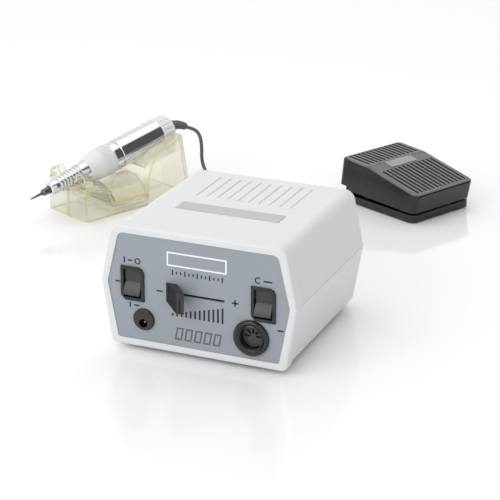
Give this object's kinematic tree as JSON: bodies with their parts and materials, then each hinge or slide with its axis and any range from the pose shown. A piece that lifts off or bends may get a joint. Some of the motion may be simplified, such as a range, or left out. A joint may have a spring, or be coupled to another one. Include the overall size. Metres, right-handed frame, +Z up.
{
  "type": "electric nail drill",
  "caption": "Desktop electric nail drill: wedge-sided mains control box, chrome handpiece with free cord resting in a translucent cradle, and a ribbed foot pedal.",
  "frame": {"origin": "on the table under the middle of the whole set, measured without the free cord", "axes": "+Y runs from the control box front to the back of the set, +X to its right, +Z up"},
  "size_m": [0.3456, 0.4555, 0.0956],
  "materials": {
    "case_white": "fine satin moulded white",
    "panel_grey": "blue-grey satin print",
    "label_grey": "flat silver-grey label stock",
    "foot_rubber": "matt black rubber",
    "screw_steel": "plain bright steel",
    "core_steel": "varnished steel laminations",
    "winding": "enamelled copper winding",
    "board": "green laminate",
    "capacitor_sleeve": "dark shrink sleeve",
    "sink_aluminium": "mill finish",
    "chip_black": "moulded black",
    "switch_black": "satin black",
    "rocker_black": "satin black, slightly worn",
    "knob_black": "satin black",
    "socket_black": "gloss black",
    "socket_insert": "matt black",
    "contact_metal": "nickel plated",
    "tool_steel": "dark hardened steel",
    "chrome_polish": "mirror chrome",
    "handpiece_white": "satin white",
    "relief_grey": "dark grey soft PVC",
    "cord_grey": "grey PVC",
    "tie_black": "black nylon",
    "cradle_tint": "translucent pale yellow-green moulding",
    "pedal_black": "gloss black"
  },
  "bodies": {
    "root": {"board_capacitors": "capacitor_sleeve", "case_feet": "foot_rubber", "case_screws": "screw_steel", "circuit_board": "board", "cord_coil": "cord_grey", "cord_tail": "cord_grey", "cord_tie": "tie_black", "cradle": "cradle_tint", "direction_switch_housing": "switch_black", "drive_transistor": "chip_black", "front_bezel": "case_white", "front_panel": "panel_grey", "fuse_holder": "socket_black", "handpiece_cord": "cord_grey", "handpiece_socket_insert": "socket_insert", "handpiece_socket_ring": "socket_black", "heat_sink": "sink_aluminium", "lower_case": "case_white", "mains_gland": "foot_rubber", "pedal_base": "pedal_black", "pedal_feet": "foot_rubber", "pedal_gland": "foot_rubber", "pedal_jack_pin": "contact_metal", "pedal_jack_ring": "socket_black", "pedal_pin": "screw_steel", "pedal_screws": "screw_steel", "pedal_spring": "screw_steel", "pedal_switch": "chip_black", "plug_shell": "socket_black", "plug_sleeve": "contact_metal", "power_switch_housing": "switch_black", "slide_pot_body": "screw_steel", "top_label": "label_grey", "transformer_coil": "winding", "transformer_core": "core_steel", "upper_case": "case_white"},
    "power_rocker": {"power_rocker": "rocker_black"},
    "direction_rocker": {"direction_rocker": "rocker_black"},
    "speed_slider": {"speed_stem": "switch_black", "speed_knob": "knob_black"},
    "handpiece": {"nose_cone": "chrome_polish", "spindle_bearings": "screw_steel", "grip_sleeve": "handpiece_white", "barrel_liner": "sink_aluminium", "body_tube": "chrome_polish", "motor_can": "screw_steel", "motor_magnets": "core_steel", "brush_holder": "chip_black", "collet_spring": "screw_steel", "rear_cap": "handpiece_white", "strain_relief": "relief_grey"},
    "lock_ring": {"lock_ring": "chrome_polish"},
    "spindle": {"spindle_shaft": "screw_steel", "shaft_coupling": "chip_black", "motor_rotor": "winding"},
    "collet": {"collet": "tool_steel"},
    "bit": {"drill_bit": "tool_steel"},
    "treadle": {"pedal_treadle": "pedal_black", "pedal_label": "label_grey"},
    "plunger": {"pedal_plunger": "handpiece_white"}
  },
  "joints": [
    {"name": "power_rocker_tilt", "type": "hinge", "parent": "root", "child": "power_rocker", "pos_m": [0.0346, -0.2105, 0.0522], "axis": [1, 0, 0], "range_deg": [0, 24]},
    {"name": "direction_rocker_tilt", "type": "hinge", "parent": "root", "child": "direction_rocker", "pos_m": [0.1358, -0.2105, 0.0522], "axis": [1, 0, 0], "range_deg": [0, 24]},
    {"name": "speed_slide", "type": "slide", "parent": "root", "child": "speed_slider", "axis": [1, 0, 0], "range_m": [0, 0.038]},
    {"name": "handpiece_lift", "type": "slide", "parent": "root", "child": "handpiece", "axis": [0, 0, 1], "range_m": [0, 0.06]},
    {"name": "lock_ring_turn", "type": "hinge", "parent": "handpiece", "child": "lock_ring", "pos_m": [-0.12783, 0.07019, 0.04384], "axis": [0.3978, 0.8936, 0.2079], "range_deg": [0, 60]},
    {"name": "spindle_spin", "type": "hinge", "parent": "handpiece", "child": "spindle", "pos_m": [-0.14204, 0.03829, 0.03642], "axis": [0.3978, 0.8936, 0.2079], "continuous": true},
    {"name": "collet_open", "type": "slide", "parent": "spindle", "child": "collet", "axis": [-0.3978, -0.8936, -0.2079], "range_m": [0, 0.001]},
    {"name": "bit_release", "type": "slide", "parent": "collet", "child": "bit", "axis": [-0.3978, -0.8936, -0.2079], "range_m": [0, 0.03]},
    {"name": "treadle_press", "type": "hinge", "parent": "root", "child": "treadle", "pos_m": [0.14829, 0.15906, 0.0115], "axis": [-0.4321, -0.9018, 0], "range_deg": [0, 2.4], "stiffness_Nm_per_rad": 12, "springref_deg": -1.15, "deforming": ["pedal_spring"]},
    {"name": "plunger_travel", "type": "slide", "parent": "root", "child": "plunger", "axis": [0, 0, -1], "range_m": [0, 0.002]}
  ],
  "couplings": [
    {"joint": "collet_open", "follows": "lock_ring_turn", "m_per_rad": 0.00095},
    {"joint": "plunger_travel", "follows": "treadle_press", "m_per_rad": 0.04}
  ]
}
